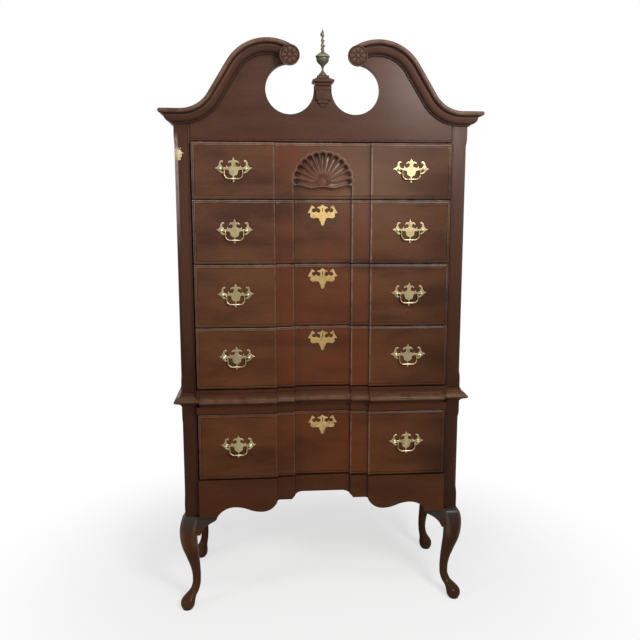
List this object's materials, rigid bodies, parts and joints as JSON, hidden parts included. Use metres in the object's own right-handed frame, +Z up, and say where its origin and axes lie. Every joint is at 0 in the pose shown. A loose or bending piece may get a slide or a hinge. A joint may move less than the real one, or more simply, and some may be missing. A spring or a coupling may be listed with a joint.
{
  "type": "highboy",
  "caption": "Bonnet-fronted highboy: an upper case of drawers with a scrolled pediment and finial on a low case with a drawer and cabriole legs.",
  "frame": {"origin": "on the floor under the middle of the bounding box", "axes": "+Z up, the drawers face -Y, +X to the right as seen from the front"},
  "size_m": [1.014, 0.4465, 1.909],
  "materials": {
    "case_wood": "dark red-brown satin varnish with lighter worn arrises",
    "drawer_front_wood": "red-brown satin varnish, redder in the middle panels",
    "inner_wood": "plain unvarnished boards",
    "finial": "grey-olive antique finish",
    "brass": "aged light brass, softly polished"
  },
  "bodies": {
    "case": {"back_panels": "inner_wood", "bottom_board": "inner_wood", "cornice_returns": "case_wood", "drawer_rails": "case_wood", "drawer_runners": "inner_wood", "finial_flame": "finial", "finial_plinth": "case_wood", "finial_urn": "finial", "front_apron": "case_wood", "knee_blocks": "case_wood", "leg_front_left": "case_wood", "leg_front_right": "case_wood", "leg_rear_left": "case_wood", "leg_rear_right": "case_wood", "pediment_board": "case_wood", "rosettes": "case_wood", "side_board_lower_left": "case_wood", "side_board_lower_right": "case_wood", "side_board_upper_left": "case_wood", "side_board_upper_right": "case_wood", "stiles_lower": "case_wood", "stiles_upper": "case_wood", "swan_neck_left": "case_wood", "swan_neck_right": "case_wood", "top_board": "case_wood", "waist_moulding": "case_wood"},
    "drawer_1": {"drawer_1_bottom": "inner_wood", "drawer_1_box": "inner_wood", "drawer_1_front": "drawer_front_wood", "drawer_1_pull_mounts": "brass"},
    "bail_1_left": {"drawer_1_bail_left": "brass"},
    "bail_1_right": {"drawer_1_bail_right": "brass"},
    "drawer_2": {"drawer_2_bottom": "inner_wood", "drawer_2_box": "inner_wood", "drawer_2_escutcheon": "brass", "drawer_2_front": "drawer_front_wood", "drawer_2_pull_mounts": "brass"},
    "bail_2_left": {"drawer_2_bail_left": "brass"},
    "bail_2_right": {"drawer_2_bail_right": "brass"},
    "drawer_3": {"drawer_3_bottom": "inner_wood", "drawer_3_box": "inner_wood", "drawer_3_escutcheon": "brass", "drawer_3_front": "drawer_front_wood", "drawer_3_pull_mounts": "brass"},
    "bail_3_left": {"drawer_3_bail_left": "brass"},
    "bail_3_right": {"drawer_3_bail_right": "brass"},
    "drawer_4": {"drawer_4_bottom": "inner_wood", "drawer_4_box": "inner_wood", "drawer_4_escutcheon": "brass", "drawer_4_front": "drawer_front_wood", "drawer_4_pull_mounts": "brass"},
    "bail_4_left": {"drawer_4_bail_left": "brass"},
    "bail_4_right": {"drawer_4_bail_right": "brass"},
    "drawer_5": {"drawer_5_bottom": "inner_wood", "drawer_5_box": "inner_wood", "drawer_5_escutcheon": "brass", "drawer_5_front": "drawer_front_wood", "drawer_5_pull_mounts": "brass"},
    "bail_5_left": {"drawer_5_bail_left": "brass"},
    "bail_5_right": {"drawer_5_bail_right": "brass"}
  },
  "joints": [
    {"name": "drawer_1_slide", "type": "slide", "parent": "case", "child": "drawer_1", "axis": [0, -1, 0], "range_m": [0, 0.3]},
    {"name": "drawer_1_bail_left_swing", "type": "hinge", "parent": "drawer_1", "child": "bail_1_left", "pos_m": [-0.281, -0.2052, 1.4829], "axis": [-1, 0, 0], "range_deg": [-6, 150]},
    {"name": "drawer_1_bail_right_swing", "type": "hinge", "parent": "drawer_1", "child": "bail_1_right", "pos_m": [0.281, -0.2052, 1.4829], "axis": [-1, 0, 0], "range_deg": [-6, 150]},
    {"name": "drawer_2_slide", "type": "slide", "parent": "case", "child": "drawer_2", "axis": [0, -1, 0], "range_m": [0, 0.3]},
    {"name": "drawer_2_bail_left_swing", "type": "hinge", "parent": "drawer_2", "child": "bail_2_left", "pos_m": [-0.281, -0.2052, 1.29175], "axis": [-1, 0, 0], "range_deg": [-6, 150]},
    {"name": "drawer_2_bail_right_swing", "type": "hinge", "parent": "drawer_2", "child": "bail_2_right", "pos_m": [0.281, -0.2052, 1.29175], "axis": [-1, 0, 0], "range_deg": [-6, 150]},
    {"name": "drawer_3_slide", "type": "slide", "parent": "case", "child": "drawer_3", "axis": [0, -1, 0], "range_m": [0, 0.3]},
    {"name": "drawer_3_bail_left_swing", "type": "hinge", "parent": "drawer_3", "child": "bail_3_left", "pos_m": [-0.281, -0.2052, 1.08745], "axis": [-1, 0, 0], "range_deg": [-6, 150]},
    {"name": "drawer_3_bail_right_swing", "type": "hinge", "parent": "drawer_3", "child": "bail_3_right", "pos_m": [0.281, -0.2052, 1.08745], "axis": [-1, 0, 0], "range_deg": [-6, 150]},
    {"name": "drawer_4_slide", "type": "slide", "parent": "case", "child": "drawer_4", "axis": [0, -1, 0], "range_m": [0, 0.3]},
    {"name": "drawer_4_bail_left_swing", "type": "hinge", "parent": "drawer_4", "child": "bail_4_left", "pos_m": [-0.281, -0.2052, 0.88315], "axis": [-1, 0, 0], "range_deg": [-6, 150]},
    {"name": "drawer_4_bail_right_swing", "type": "hinge", "parent": "drawer_4", "child": "bail_4_right", "pos_m": [0.281, -0.2052, 0.88315], "axis": [-1, 0, 0], "range_deg": [-6, 150]},
    {"name": "drawer_5_slide", "type": "slide", "parent": "case", "child": "drawer_5", "axis": [0, -1, 0], "range_m": [0, 0.3]},
    {"name": "drawer_5_bail_left_swing", "type": "hinge", "parent": "drawer_5", "child": "bail_5_left", "pos_m": [-0.281, -0.2052, 0.585], "axis": [-1, 0, 0], "range_deg": [-6, 150]},
    {"name": "drawer_5_bail_right_swing", "type": "hinge", "parent": "drawer_5", "child": "bail_5_right", "pos_m": [0.281, -0.2052, 0.585], "axis": [-1, 0, 0], "range_deg": [-6, 150]}
  ]
}
